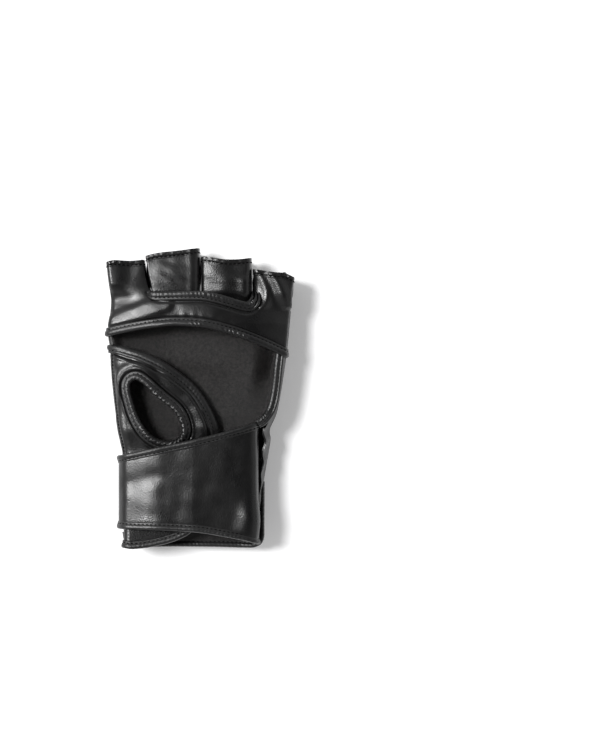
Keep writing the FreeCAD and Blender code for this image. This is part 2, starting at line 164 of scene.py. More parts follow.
def make_object(name, verts, faces, material, flat=0):
    """A mesh from points in millimetres, smooth but for its last faces, flat of them, which form its
    cut edges."""
    mesh = bpy.data.meshes.new(name)
    mesh.from_pydata((np.asarray(verts) * MM).tolist(), [], faces)
    count = len(mesh.polygons)
    mesh.polygons.foreach_set("use_smooth", [True] * (count - flat) + [False] * flat)
    mesh.materials.append(material)
    mesh.validate()
    mesh.update()
    if flat:
        edges = np.empty(len(mesh.loops), dtype=np.int32)
        mesh.loops.foreach_get("edge_index", edges)
        sharp = np.zeros(len(mesh.edges), dtype=bool)
        sharp[edges[mesh.polygons[count - flat].loop_start:]] = True
        mesh.edges.foreach_set("use_edge_sharp", sharp)
    return add_object(name, mesh)


def grid_faces(rows, cols, start=0, flip=False, close_rows=False, close_cols=False):
    faces = []
    for i in range(rows if close_rows else rows - 1):
        for j in range(cols if close_cols else cols - 1):
            a = start + i * cols + j
            b = start + i * cols + (j + 1) % cols
            c = start + (i + 1) % rows * cols + (j + 1) % cols
            d = start + (i + 1) % rows * cols + j
            faces.append((a, d, c, b) if flip else (a, b, c, d))
    return faces


def closed_sheet(name, outer, inner, material, flip=False, close_rows=False):
    """A closed sheet between two grids of the same size."""
    rows, cols = outer.shape[:2]
    size, last = rows * cols, (rows - 1) * cols
    faces = grid_faces(rows, cols, 0, flip, close_rows) + grid_faces(rows, cols, size, not flip, close_rows)
    skin = len(faces)

    def wall(a, b, turned):
        faces.append((a, a + size, b + size, b) if turned else (a, b, b + size, a + size))

    for i in range(rows if close_rows else rows - 1):
        a, b = i * cols, (i + 1) % rows * cols
        wall(a, b, flip)
        wall(a + cols - 1, b + cols - 1, not flip)
    if not close_rows:
        for j in range(cols - 1):
            wall(j, j + 1, not flip)
            wall(last + j, last + j + 1, flip)
    verts = np.vstack([outer.reshape(-1, 3), inner.reshape(-1, 3)])
    return make_object(name, verts, faces, material, flat=len(faces) - skin)


def thick_sheet(name, grid, thick, material, close_rows=False):
    """A closed sheet: the grid is its outer face, and thick (a number or a grid) is set inwards."""
    n = unit(np.cross(steps_along(grid, close_rows), np.gradient(grid, axis=1)))
    side = 1.0 if n[..., 2].mean() > 0 else -1.0
    inner = grid - n * side * np.broadcast_to(thick, grid.shape[:2])[..., None]
    return closed_sheet(name, grid, inner, material, side < 0, close_rows)


def lidded(name, grid, material, flat=0):
    """A closed solid from a grid whose columns are rings of points, with a face over each end."""
    rows, cols = grid.shape[:2]
    faces = grid_faces(rows, cols, close_rows=True)
    faces.append(tuple(i * cols + cols - 1 for i in reversed(range(rows))))
    faces.append(tuple(i * cols for i in range(rows)))
    return make_object(name, grid.reshape(-1, 3), faces, material, flat)


# ---- skins

SIDE = 18.0                     # usual height of the glove's sides, from the seam to the top
QUARTER = 1.57                  # length of a quarter circle, in radii


class Skin:
    """A surface over x and y. left, right, low, round_left and round_right are functions of y, and
    crown(x, y) is the height between the rounded sides. hold_left and hold_right, functions of y
    from 0 to 1, say how far each side has fallen."""

    def __init__(self, left, right, crown, low, round_left, round_right,
                 hold_left=steady(1.0), hold_right=steady(1.0), relief=None):
        self.left, self.right, self.crown, self.low = left, right, crown, low
        self.round_left, self.round_right = round_left, round_right
        self.hold_left, self.hold_right, self.relief = hold_left, hold_right, relief

    def place(self, u, y):
        """x at share u across the surface, and how far up each side is there: a side goes straight up
        and then turns in, along an arc."""
        left, right = self.left(y), self.right(y)
        a, b = self.round_left(y), self.round_right(y)
        side_a, side_b = SIDE + (QUARTER - 1) * a, SIDE + (QUARTER - 1) * b
        flat = right - left - a - b
        total = side_a + flat + side_b
        s = u * total
        in_a, up_a = self.turn(s, a)
        in_b, up_b = self.turn(total - s, b)
        flat_or_right = np.where(s > total - side_b, right - in_b, left + a + s - side_a)
        x = np.where(s < side_a, left + in_a, flat_or_right)
        return x, np.where(a > 0.01, up_a, 1.0), np.where(b > 0.01, up_b, 1.0)

    @staticmethod
    def turn(s, radius):
        """How far in and how far up (0 to 1) a side is, at length s along it. The straight part leans
        in by a hair, so that each x has one share."""
        angle = np.clip((s - SIDE + radius) / np.maximum(QUARTER * radius, 1e-9), 0, 1) * math.pi / 2
        straight = np.clip(s / (SIDE - radius), 0, 1) * (1 - radius / SIDE)
        lean = 0.25 * np.minimum(radius, 1) * np.clip(s / (SIDE - radius), 0, 1) * np.cos(angle) ** 2
        return radius * (1 - np.cos(angle)) + lean, straight + radius / SIDE * np.sin(angle)

    def plain(self, u, y):
        """The points of the surface, without its relief."""
        u, y = np.broadcast_arrays(np.asarray(u, float), np.asarray(y, float))
        x, fall_a, fall_b = self.place(u, y)
        fall = mix(1.0, fall_a, self.hold_left(y)) * mix(1.0, fall_b, self.hold_right(y))
        return points_of(x, y, mix(self.low(y), self.crown(x, y), fall))

    def normal(self, u, y, step=0.004):
        u, y = np.broadcast_arrays(np.asarray(u, float), np.asarray(y, float))
        across = self.plain(np.clip(u + step, 0, 1), y) - self.plain(np.clip(u - step, 0, 1), y)
        along = self.plain(u, y + 0.3) - self.plain(u, y - 0.3)
        return unit(np.cross(across, along))

    def at(self, u, y):
        """The points of the surface, with its relief, which is calmer on the sides."""
        p = self.plain(u, y)
        if self.relief is None:
            return p
        n = self.normal(u, y)
        calm = 0.15 + 0.85 * smooth(n[..., 2:] / 0.7)
        return p + n * calm * self.relief(p[..., 0], p[..., 1])[..., None]

    def share(self, x, y):
        """The share u across the surface at which it stands over x."""
        u = np.linspace(0, 1, 401)
        out = [np.interp(a, self.place(u, np.full(401, b))[0], u) for a, b in zip(np.ravel(x), np.ravel(y))]
        return np.array(out).reshape(np.shape(x))

    def over(self, path):
        """The points and normals of the surface over a plan path."""
        u = self.share(path[:, 0], path[:, 1])
        return self.plain(u, path[:, 1]), self.normal(u, path[:, 1])

    def strip(self, count_u, lower, upper, count_y, stop=1.0):
        """The u and y of a grid between two graphs of x, rows across and columns along."""
        u = np.linspace(0, stop, count_u)
        ends = []
        for edge in (lower, upper):
            y = np.full(count_u, 50.0)
            for _ in range(6):
                y = edge(self.place(u, y)[0])
            ends.append(y[:, None])
        return u[:, None], mix(*ends, np.linspace(0, 1, count_y)[None, :])


# ---- bindings and stitches

# cross-section of a folded binding: across it from the sewn edge (-0.5) to the fold (0.5), and height
FOLD_SECTION = [(-0.5, -0.1), (-0.48, 0.40), (-0.38, 0.60), (-0.29, 0.60), (-0.22, 0.44), (-0.15, 0.64),
                (-0.02, 0.86), (0.2, 0.96), (0.38, 0.84), (0.48, 0.42), (0.5, -0.2), (0.40, -0.75),
                (0.15, -0.95), (-0.2, -0.85), (-0.44, -0.6)]
FOLD_POINTS = 24                # points round that section
STITCH_LANE = -0.22             # where across a binding its stitches run
STITCH_GAP, STITCH_SINK = 1.0, 0.30     # bare ends of a row of stitches, and how deep its threads lie


def frame_of(path, normals, closed=False):
    """The directions across a path and up from it, square to each other."""
    tangent = unit(steps_along(path, closed))
    across = unit(np.cross(normals, tangent))
    return across, np.cross(tangent, across)


def folds(s, lateral, pitch, slant, seed):
    """Height of sewn gathers, from -1 to 1: broad ribs between narrow creases, leaning across."""
    uneven = 0.9 * np.sin(s / pitch * 1.9 + seed) + 0.7 * np.sin(s / pitch * 0.73 + 2 * seed)
    phase = math.tau * (s / pitch + slant * lateral) + uneven
    return 2.0 * np.abs(np.sin(phase / 2)) ** 0.8 - 1.0


def binding(name, path, normals, width, height, body, nodes, gathers, side=1, closed=False, pitch=3.0,
            slant=1.4, seed=1):
    """Sweeps a folded strip along the path, and sews it. side=1 puts the fold on the left of the path's
    direction. width and gathers, from 0 to 1, are numbers or arrays along the path."""
    across, up = frame_of(path, normals, closed)
    count = len(path)
    profile = spaced(catmull(FOLD_SECTION, closed=True, steps=12), FOLD_POINTS, closed=True)
    lateral, lift = profile.T[:, None, :]
    s = lengths(path)[:, None]
    width, gathers = (np.broadcast_to(v, count)[:, None] for v in (width, gathers))
    ridge = folds(s, lateral, pitch, slant, seed)
    on_fold = smooth((lateral + 0.15) / 0.25)
    top = smooth((lift + 0.2) / 0.6)
    swell = 1 + 0.06 * wander(s, 9 * lateral, 14.0, seed)
    rise = lift * height * swell + gathers * on_fold * (0.35 + 0.65 * top) * ridge * 0.40 * height
    reach = lateral * width * (1 + gathers * on_fold * ridge * 0.05)
    rings = path[:, None] + side * across[:, None] * reach[..., None] + up[:, None] * rise[..., None]
    faces = grid_faces(count, FOLD_POINTS, 0, side < 0, closed, True)
    if not closed:
        for start, flip in ((0, side > 0), ((count - 1) * FOLD_POINTS, side < 0)):
            ring = range(start, start + FOLD_POINTS)
            faces.append(tuple(ring if flip else reversed(ring)))
    settle(make_object(f"{name}_edge", rings.reshape(-1, 3), faces, BINDING), "binding", body, *nodes)
    lane = path + side * across * STITCH_LANE * width + up * (0.44 * height)
    stitches(f"{name}_stitches", lane, up, body)


def stitches(name, lane, normals, body, pitch=3.1, length=2.3, radius=0.50):
    """A row of sewn stitches along a line on the leather, each a short thread that dips at its ends."""
    s, around, rings = lengths(lane), 6, 6
    turns = [math.tau * k / around for k in range(around)]
    verts, faces = [], []

    def at(where, values):
        return np.array([np.interp(where, s, column) for column in values.T])

    for k in range(int((s[-1] - 2 * STITCH_GAP) / pitch)):
        base = len(verts)
        for t in np.linspace(0, 1, rings):
            here = STITCH_GAP + (k + 0.5) * pitch + (t - 0.5) * length
            run, n = unit(at(here + 0.4, lane) - at(here - 0.4, lane)), unit(at(here, normals))
            across = np.cross(n, run)
            arch = abs(math.sin(math.pi * t))
            size = radius * (0.45 + 0.55 * arch ** 0.5)
            heart = at(here, lane) + n * (0.5 * radius * arch - STITCH_SINK)
            verts += [heart + size * (math.cos(turn) * across + math.sin(turn) * n) for turn in turns]
        faces += grid_faces(rings, around, base, close_cols=True)
        faces.append(tuple(range(base, base + around)))
        faces.append(tuple(reversed(range(base + (rings - 1) * around, base + rings * around))))
    settle(make_object(name, verts, faces, THREAD), "thread", body)


def cord(name, path, radius, body, around=10):
    """A round piping along a path. radius is a number, or an array along the path."""
    across, up = frame_of(path, np.tile([0.0, 0.0, 1.0], (len(path), 1)))
    angle = np.linspace(0, math.tau, around, endpoint=False)[None, :, None]
    radius = np.reshape(radius, (-1, 1, 1))
    rings = path[:, None] + radius * (np.cos(angle) * across[:, None] + np.sin(angle) * up[:, None])
    faces = grid_faces(len(path), around, close_cols=True)
    faces.append(tuple(reversed(range(around))))
    faces.append(tuple(range((len(path) - 1) * around, len(path) * around)))
    settle(make_object(name, rings.reshape(-1, 3), faces, BINDING), "binding", body)


# ---- materials

def new_material(name):
    material = bpy.data.materials.new(name)
    material.use_nodes = True
    return material, material.node_tree, material.node_tree.nodes["Principled BSDF"]


def plug(tree, node, sockets):
    """Sets the sockets of a node to values, or links them from other nodes."""
    for socket, value in sockets.items():
        if isinstance(value, bpy.types.NodeSocket):
            tree.links.new(value, node.inputs[socket])
        else:
            node.inputs[socket].default_value = value
    return node


def add_node(tree, kind, sockets, **settings):
    node = tree.nodes.new("ShaderNode" + kind)
    for name, value in settings.items():
        setattr(node, name, value)
    return plug(tree, node, sockets)


def noise(tree, coords, scale, detail=3.0, rough=0.55):
    sockets = {"Vector": coords, "Scale": scale, "Detail": detail, "Roughness": rough}
    return add_node(tree, "TexNoise", sockets).outputs["Fac"]


def remap(tree, value, low, high, to_low, to_high):
    sockets = {"Value": value, "From Min": low, "From Max": high, "To Min": to_low, "To Max": to_high}
    return add_node(tree, "MapRange", sockets).outputs["Result"]


def ramp(tree, value, *stops):
    node = add_node(tree, "ValToRGB", {"Fac": value})
    elements = node.color_ramp.elements
    while len(elements) < len(stops):
        elements.new(0.5)
    for element, (place, color) in zip(elements, stops):
        element.position = place
        element.color = (*color, 1.0)
    return node.outputs["Color"]


def bumps(tree, *layers):
    """Layers of bumps, each a height, a strength and a distance, one over the other."""
    below = {}
    for height, strength, distance in layers:
        sockets = {"Strength": strength, "Distance": distance, "Height": height, **below}
        below = {"Normal": add_node(tree, "Bump", sockets).outputs["Normal"]}
    return below


def leather_material(name, dark, light, rough_low, rough_high, grain=1100.0, crease_depth=0.00012):
    """Coated leather: fine pebble grain, soft creases, uneven polish, and a little wear."""
    material, tree, shader = new_material(name)
    coords = tree.nodes.new("ShaderNodeTexCoord").outputs["Object"]
    cells = add_node(tree, "TexVoronoi", {"Vector": coords, "Scale": grain}).outputs["Distance"]
    polish = noise(tree, coords, 38.0, 4.0)
    smudge = noise(tree, coords, 260.0, 5.0, 0.65)
    creases = noise(tree, coords, 210.0, 2.0, 0.45)
    uneven = add_node(tree, "Math", {0: polish, 1: 0.7}, operation="MULTIPLY").outputs[0]
    uneven = add_node(tree, "Math", {0: smudge, 1: 0.3, 2: uneven}, operation="MULTIPLY_ADD").outputs[0]
    plug(tree, shader, {
        "Roughness": remap(tree, uneven, 0.35, 0.65, rough_low, rough_high),
        "Base Color": ramp(tree, polish, (0.35, dark), (0.68, light)), "Specular IOR Level": 0.5,
        **bumps(tree, (creases, 0.35, crease_depth), (cells, 0.6, 0.00012))})
    return material


def cloth_material(name, dark, light, thread, depth, sheen, rough, shine=0.25):
    """Woven or brushed cloth: crossed threads, soft colour change, and sheen."""
    material, tree, shader = new_material(name)
    coords = tree.nodes.new("ShaderNodeTexCoord").outputs["Object"]
    wave = {"Vector": coords, "Scale": thread, "Distortion": 1.2, "Detail": 2.0}
    warp, weft = (add_node(tree, "TexWave", wave, bands_direction=way).outputs["Fac"] for way in "XY")
    woven = add_node(tree, "Math", {0: warp, 1: weft}, operation="MULTIPLY").outputs[0]
    fuzz = noise(tree, coords, 1500.0, 4.0, 0.7)
    speckle = noise(tree, coords, 480.0, 6.0, 0.8)
    plug(tree, shader, {
        "Base Color": ramp(tree, speckle, (0.40, dark), (0.62, light)),
        "Roughness": remap(tree, fuzz, 0.3, 0.7, rough - 0.08, rough + 0.1),
        "Sheen Weight": sheen, "Sheen Roughness": 0.45, "Specular IOR Level": shine,
        **bumps(tree, (woven, 0.5, depth), (speckle, 0.35, depth))})
    return material


LEATHER = leather_material("leather_black", (0.0035, 0.0035, 0.0037), (0.0060, 0.0058, 0.0059), 0.25, 0.36,
                           crease_depth=0.00005)
BINDING = leather_material("leather_binding", (0.005, 0.005, 0.0053), (0.010, 0.0098, 0.010), 0.31, 0.44,
                           grain=1500.0, crease_depth=0.0004)
BACK = leather_material("leather_back", (0.004, 0.004, 0.0042), (0.009, 0.0088, 0.0088), 0.30, 0.44,
                        grain=900.0)
SATIN = cloth_material("lining_satin", (0.0006, 0.0005, 0.0005), (0.019, 0.0165, 0.0163), 900.0, 0.00045,
                       0.02, 0.36, shine=0.36)
THREAD = cloth_material("thread_black", (0.0015,) * 3, (0.004,) * 3, 2500.0, 0.00005, 0.0, 0.88, shine=0.04)
HOOK = cloth_material("hook_tape", (0.006,) * 3, (0.03,) * 3, 520.0, 0.0006, 0.1, 0.72)
LOOP = cloth_material("loop_pile", (0.004,) * 3, (0.014, 0.014, 0.0145), 700.0, 0.0007, 0.15, 0.85)


# ---- placing pieces

def settle(piece, slot, body, *nodes):
    """Attaches a piece to the body that it rides on, and hides the CAD nodes that it stands for. slot is not
    used. body is a name, or (from, to, start, end) for a piece meant to bend from one body to the next, which
    is only fixed in place here, neither attached nor bent."""
    if isinstance(body, str):
        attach(piece, body)
    else:
        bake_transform(piece)
    if nodes:
        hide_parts(*nodes)


def bend(finger):
    """The zone in which a finger's leather bends from the hand."""
    start, end = FINGERS[finger]["bend"]
    return ("hand", f"{finger}_finger", (0, start, 30), (0, end, 30))


STRAP_FOLD = ("hand", "strap_tail", (-58.5, -70.0, 10.5), (-58.5, -70.0, 4.8))


# ---- outline of the glove in plan

LEFT = graph((-108, -55.8), (-60, -56.0), (-37, -57.4), (-19, -61.0), (13, -64.8), (35, -66.0),
             (46, -67.4), (60, -65.9), (71, -65.3), (88, -67.4), (100, -68.6))
RIGHT = graph((-106, 42.6), (-70, 43.9), (-41, 48.2), (-30, 50.0), (-22, 49.6), (-10, 54.6),
              (10, 58.4), (35, 62.0), (64, 64.8), (85, 67.4), (95, 67.9))
WELT = 15.0                     # height of the seam between the palm side and the padded back

BAND_SEAM = graph((-70, 49.9), (-51, 54.0), (-30, 57.2), (-15, 57.9), (5, 56.4), (25, 51.2),
                  (45, 43.4), (66, 33.0))
BAND_EDGE = graph((-70, 44.2), (-51, 48.2), (-30, 51.4), (-15, 52.2), (5, 50.6), (25, 45.2),
                  (45, 37.6), (66, 27.5))
BAND_TOP = graph((-72, 70), (-50, 70), (-36, 70), (-18, 70.2), (0, 70.2), (13.7, 67.4), (24, 64.4),
                 (33, 62.4), (40, 62), (72, 62))

CROTCH_SEAM = [(-38.4, 76.0), (-36.7, 73.4), (-33.1, 70.6), (-28.1, 69.6), (-18.7, 69.4), (-0.7, 69.4),
               (6.5, 68.4), (13.7, 66.7), (20.9, 64.5), (28.1, 62.6), (33.1, 61.5), (37.6, 62.4),
               (41.0, 65.0)]


def band_crown(x, y):
    over = np.maximum(y - 54.0, 0)
    return 40.0 - 0.0029 * (x + 2) ** 2 - 0.13 * over + 0.5 * wander(x, y, 46.0, 3)


def band_relief(x, y):
    """Loose leather: long soft swells, pulls near the binding, and creases at the thumb side."""
    pull = bump(y - BAND_SEAM(x), 4.0)
    sunk = -0.7 * bump(y - BAND_SEAM(x) - 0.3, 1.1) - 0.7 * bump(near(x, y, CROTCH_SEAM), 1.2)
    swell = 0.35 * wander(x, 1.4 * y, 30.0, 11) + 0.10 * wander(x, y, 9.0, 12)
    ridge = near(x, y, [(-68, 52), (-58, 57), (-48, 60.5), (-38, 64), (-26, 68)]) / 6.2
    slope = 1.4 * np.exp(-ridge**4) - 1.2 * bump(np.hypot(x + 60, (y - 74) / 0.9), 8.5)
    slope = slope + 0.9 * bump(np.hypot((x - 8) / 1.6, y - 61), 7.0)
    creases = 0.28 * bump(x + 60, 9) * np.sin(0.95 * y + 0.16 * x) * bump(y - 80, 9)
    pulls = 0.16 * pull * np.sin(0.8 * x + 1.3 * np.sin(0.13 * x)) * (bump(x + 8, 12) + bump(x - 27, 14))
    return swell + slope + creases + pulls + sunk


BAND = Skin(lambda y: LEFT(y) + 0.1, lambda y: RIGHT(y) - 0.3, band_crown, steady(WELT), steady(3.4),
            steady(2.2), relief=band_relief)


def under_band(x, y):
    """How far a sleeve sinks where it runs in below the band."""
    return -0.02 - 0.035 * np.maximum(BAND_TOP(x) - y, 0) ** 2


# ---- fingers

CROTCH = [(-38.4, 78.0), (-36.6, 75.2), (-32.6, 73.5), (-26.0, 73.5), (-13.0, 73.8), (0.0, 73.7),
          (9.0, 72.4), (18.0, 70.1), (27.0, 67.4), (33.0, 66.0), (37.2, 66.8), (39.6, 69.6), (40.6, 73.0),
          (39.8, 76.4)]
CROTCH_LINE = graph((-40, 78.5), *CROTCH[1:11], (37.5, 67.5), (42, 70.0))

# the line in plan between the index and middle sleeves: x over y
FORK_INDEX = graph((60, -33.5), (70, -34.8), (76, -35.6), (84, -37.4), (92, -39.2), (101, -40.2),
                   (110, -40.4))
SLEEVE_LOW = 12.5               # height of the sleeves' sewn edges
# each sleeve's outline, its crown and how fast that falls, the rounding of its sides, its pad (left,
# right and rear), and the rear of its lining
FINGERS = {
    "index": {
        "bend": (70.0, 82.0), "root": lambda x: BAND_TOP(x) - 3.0, "crown": 32.0, "fall": 0.10,
        "left": lambda y: LEFT(y) + 0.1, "right": lambda y: FORK_INDEX(y) - 0.7,
        "tip": graph((-72, 94.0), (-67, 98.3), (-62, 99.4), (-51, 99.0), (-40, 99.7)),
        "rounds": (3.2, 1.6), "pad": (-68.0, -41.4, 76.6), "lining": 72.0,
    },
    "middle": {
        "bend": (73.0, 84.0), "root": lambda x: CROTCH_LINE(x) - 1.8, "crown": 34.6, "fall": -0.03,
        "left": lambda y: FORK_INDEX(y) + 0.7, "right": steady(-0.9),
        "tip": graph((-42, 101.0), (-37, 103.2), (-29, 104.8), (-18, 105.9), (-8, 107.2), (0, 108.2)),
        "rounds": (1.4, 3.4), "pad": (-39.7, -0.6, 79.3), "lining": 74.0,
    },
    "ring": {
        "bend": (72.0, 82.5), "root": lambda x: CROTCH_LINE(x) - 1.8, "crown": 34.0, "fall": 0.0,
        "left": steady(0.1), "right": steady(36.5),
        "tip": graph((-1, 101.9), (5, 101.9), (17, 99.9), (28, 100.1), (37, 101.2)),
        "rounds": (3.0, 4.6), "pad": (0.2, 36.2, 78.1), "lining": 72.0,
    },
    "pinky": {
        "bend": (63.0, 75.0), "root": lambda x: BAND_TOP(x) - 3.0, "crown": 30.8, "fall": 0.08,
        "left": graph((60, 37.0), (74, 37.2), (88, 37.5), (96, 38.0)), "right": RIGHT,
        "tip": graph((36, 93.2), (46, 91.8), (53, 90.6), (60, 90.2), (64, 88.6), (70, 85.6)),
        "rounds": (None, 2.2), "pad": (37.0, 68.0, 69.6), "lining": 64.0,
    },
}
HEM = 4.3                       # from a sleeve's edge to its stitches, and a little past them
HEM_STITCH = 3.2                # distance of a hem's stitches from the sleeve's end


def hem_relief(x, y, tip):
    """A turned hem: thicker leather at the edge, and the dip that its stitches pull."""
    below = tip(x) - y
    corner = bump(x + 66, 5.0) + bump(x - 65, 5.0)
    lumps = (0.12 + 0.7 * corner) * wander(x, y, 3.0, 91) * bump(below, 2.8)
    return 0.6 * smooth((HEM - below) / 0.7) - 0.55 * bump(below - HEM_STITCH, 0.6) + lumps


def outer_skin(name, start, zone, heart, details, **form):
    """The index or little finger's sleeve, which grows out of the band from start, over a zone."""
    f = FINGERS[name]
    share = lambda y: smooth((y - start) / zone)

    def crown(x, y):
        own = f["crown"] - f["fall"] * (y - heart[1]) - 0.004 * (x - heart[0]) ** 2
        return mix(band_crown(x, y), own, share(y))

    def relief(x, y):
        own, added = details(x, y)
        return mix(band_relief(x, y), own, share(y)) + added + hem_relief(x, y, f["tip"]) + under_band(x, y)

    return Skin(crown=crown, low=lambda y: mix(WELT, SLEEVE_LOW, share(y)), relief=relief,
                round_right=steady(f["rounds"][1]), **form)


def index_skin():
    f = FINGERS["index"]
    dent = [(-50, 97), (-52, 88), (-56, 78)]
    details = lambda x, y: (0.25 * wander(x, y, 18.0, 21) - 0.7 * bump(near(x, y, dent), 6.0), 0.0)
    return outer_skin("index", 70.0, 13.0, (-54, 80), details, left=f["left"], right=f["right"],
                      round_left=lambda y: mix(3.4, f["rounds"][0], smooth((y - 70.0) / 13.0)),
                      hold_right=lambda y: smooth((y - 72.0) / 9.0))


def pinky_skin():
    f = FINGERS["pinky"]
    fold = [(38.0, 58.5), (43.2, 62.5), (47.0, 69.5), (47.3, 77.0), (44.0, 85.5), (40.5, 92.0)]
    second = [(51.4, 89.0), (56.4, 81.0), (61.0, 70.0), (62.6, 62.0)]

    def details(x, y):
        pulls = 1.5 * bump(near(x, y, fold), 3.4) + 2.5 * bump(near(x, y, second), 4.8)
        return 0.2 * wander(x, y, 18.0, 24), smooth((y - 62.0) / 5.0) * pulls

    return outer_skin("pinky", 62.0, 14.0, (53, 72), details,
                      left=lambda y: mix(36.0, f["left"](y), smooth((y - 62.0) / 14.0)),
                      right=lambda y: RIGHT(y) - 0.3,
                      round_left=graph((58, 3.0), (64, 3.6), (71, 5.2), (78, 5.0), (85, 4.0), (91, 3.0),
                                       (96, 3.0)),
                      hold_left=lambda y: smooth((y - 63.0) / 8.0))


def inner_skin(name, heart, round_left, pull, pull_height, pull_width):
    """The middle or ring finger's sleeve, which comes out from under the band's bound edge."""
    f = FINGERS[name]

    def crown(x, y):
        tuck = 5.0 * smooth((78.0 - y) / 14.0)
        tube = np.where(x < heart, round_left, 0.004) * (x - heart) ** 2
        return f["crown"] + f["fall"] * (y - 90) - 0.10 * np.maximum(y - 84, 0) - tube - tuck

    def relief(x, y):
        shape = pull_height * bump(near(x, y, pull), pull_width)
        crinkle = 0.2 * wander(x, y, 9.0, 25) + 0.06 * wander(x, y, 4.5, 26)
        return shape + crinkle + 0.3 * wander(x, y, 17.0, 22 + len(name)) + hem_relief(x, y, f["tip"])

    return Skin(f["left"], f["right"], crown, steady(SLEEVE_LOW), *map(steady, f["rounds"]), relief=relief)


FINGER_SKINS = {
    "index": index_skin(),
    "middle": inner_skin("middle", -15.0, 0.0036, [(-7.2, 108), (-6.2, 92), (-6.6, 72)], 0.5, 3.0),
    "ring": inner_skin("ring", 21.0, 0.006, [(31.5, 84), (31.0, 76), (29.5, 70)], 1.0, 4.0),
    "pinky": pinky_skin(),
}


def make_finger(name):
    f, skin = FINGERS[name], FINGER_SKINS[name]
    grid = skin.at(*skin.strip(170, f["root"], f["tip"], 70))
    below = f["tip"](grid[..., 0]) - grid[..., 1]
    sleeve = thick_sheet(f"{name}_sleeve_leather", grid, 1.2 + 1.1 * smooth((HEM - below) / 0.9), LEATHER)
    settle(sleeve, "leather", bend(name), f"{name}_sleeve", f"{name}_hem")

    u = np.linspace(0.03, 0.97, 160)
    y = np.full(160, f["tip"](skin.place(0.5, 95.0)[0]))
    for _ in range(4):
        y = f["tip"](skin.place(u, y)[0]) - HEM_STITCH
    n = skin.normal(u, y)
    stitches(f"{name}_hem_stitches", skin.at(u, y) + n * 0.15, n, f"{name}_finger")


# ---- palm band and its bindings

def make_band():
    grid = BAND.at(*BAND.strip(340, lambda x: BAND_EDGE(x) + 2.0, BAND_TOP, 50))
    settle(thick_sheet("palm_band_leather", grid, 1.3, LEATHER), "leather", "hand", "palm_band",
           "middle_ring_root")

    u, y = np.linspace(0.0, 1.0, 420), np.full(420, 50.0)
    for _ in range(5):
        x = BAND.place(u, y)[0]
        y = (BAND_EDGE(x) + BAND_SEAM(x)) / 2
    n = BAND.normal(u, y)
    path = BAND.plain(u, y) + n * 0.3
    x = path[:, 0]
    gathers = 0.06 + 0.9 * bump(x + 3.0, 4.0) + 1.0 * bump(x - 27, 9.0) + 0.25 * bump(x - 52, 8.0)
    binding("palm_band", path, n, 6.4, 1.9, "hand", ["palm_band_binding"], gathers, side=-1, pitch=3.6,
            slant=-1.6, seed=2)


def make_crotch_binding():
    p, n = BAND.over(through(CROTCH, 300))
    t = np.linspace(0, 1, 300)
    p = p + n * 0.2
    p[:, 2] -= 4.0 * smooth((0.08 - t) / 0.08) + 9.0 * smooth((t - 0.87) / 0.13) ** 1.5
    width = 6.8 - 2.6 * smooth((0.10 - t) / 0.1) - 1.8 * smooth((t - 0.84) / 0.12)
    gathers = 0.12 + 1.0 * bump(t - 0.93, 0.07) + 0.3 * bump(t - 0.5, 0.1) + 0.5 * bump(t - 0.03, 0.05)
    binding("finger_crotch", p, n, width, 2.0, "hand", ["finger_crotch_binding"], gathers, slant=1.2, seed=5)


def make_tucks():
    """Leather gathered in short folds where the crotch binding ends beside the little finger."""
    lines = [
        [(30.4, 68.6, 33.6), (34.6, 69.4, 34.4), (37.0, 72.6, 32.6), (37.2, 77.0, 28.0)],
        [(32.6, 66.2, 34.2), (37.2, 67.8, 35.0), (39.6, 71.8, 33.4), (39.6, 77.4, 28.6)],
        [(35.6, 64.4, 34.0), (39.9, 66.2, 34.8), (42.0, 70.8, 33.4), (41.8, 77.0, 29.0)],
    ]
    t = np.linspace(0, 1, 60)
    for k, line in enumerate(lines):
        radius = 0.25 + 0.95 * np.sin(math.pi * t) ** 0.6 + 0.12 * np.sin(14 * t + k)
        cord(f"crotch_tuck_{k + 1}", through(line, 60), radius, "hand")


# ---- thumb panel

THUMB_SEAM = [(-65.6, 33.6), (-58.3, 31.4), (-51.1, 28.9), (-43.9, 26.3), (-36.7, 23.3), (-29.5, 19.8),
              (-22.3, 15.4), (-15.1, 10.2), (-7.9, 4.2), (-3.2, -2.6), (0.8, -10.0), (4.2, -17.5),
              (6.6, -25.0), (8.4, -35.0), (9.2, -46.0)]
THUMB_EDGE = [(-65.6, 37.9), (-58.3, 38.0), (-51.1, 36.6), (-43.9, 34.6), (-36.7, 31.4), (-29.5, 27.6),
              (-22.3, 23.2), (-15.1, 17.6), (-7.9, 11.2), (-0.7, 4.0), (6.0, -6.2), (10.2, -14.2),
              (13.2, -22.4), (15.2, -34.0), (15.6, -46.0)]
HOLE = [(-50.4, 10.8), (-46.4, 13.6), (-41.0, 10.4), (-34.0, 4.0), (-27.0, -2.0), (-20.4, -7.4),
        (-16.4, -12.4), (-13.8, -19.0), (-13.6, -25.0), (-17.6, -29.2), (-24.0, -30.6), (-31.0, -29.0),
        (-37.4, -24.4), (-42.6, -17.4), (-46.4, -9.2), (-48.8, -1.0), (-50.4, 5.4)]
HOLE_BAND = 6.0                 # width of the hole's binding, outside the hole


def thumb_crown(x, y):
    """Highest across the middle, lower towards the free edge over the palm and at the wrist."""
    edge = near(x, y, THUMB_EDGE)
    droop = 3.6 * smooth((10.0 - edge) / 10.0) + 2.4 * smooth((-20.0 - y) / 18.0)
    return 32.5 - 0.0030 * (x + 24) ** 2 - droop + 0.5 * wander(x, y, 34.0, 31)


THUMB = Skin(lambda y: LEFT(y) + 0.1, steady(22.0), thumb_crown, steady(WELT), steady(7.5), steady(1e-3),
             hold_right=steady(0.0))


